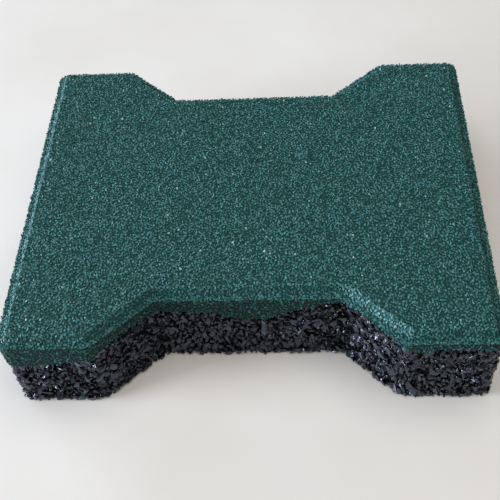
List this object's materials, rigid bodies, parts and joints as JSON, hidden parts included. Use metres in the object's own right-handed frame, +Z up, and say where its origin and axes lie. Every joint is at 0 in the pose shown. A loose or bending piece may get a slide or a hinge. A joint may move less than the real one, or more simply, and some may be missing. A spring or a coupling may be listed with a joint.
{
  "type": "dog bone rubber paver",
  "caption": "Interlocking dog bone paver of bonded rubber granules: a fine green walking layer with a bevelled edge on a coarse black base, notched to lock with its neighbours.",
  "frame": {"origin": "middle of the underside", "axes": "+Z up through the walking face, +X along the notched sides, +Y towards the back notch"},
  "size_m": [0.2, 0.165, 0.045],
  "materials": {
    "black_rubber": "coarse bonded granules of recycled tyre rubber, dark and slightly glossy, with open pits between them",
    "green_rubber": "fine bonded granules in a pigmented binder, matt blue-green, with small dark pits"
  },
  "bodies": {
    "root": {"black_base_layer": "black_rubber", "green_top_layer": "green_rubber"}
  },
  "joints": []
}
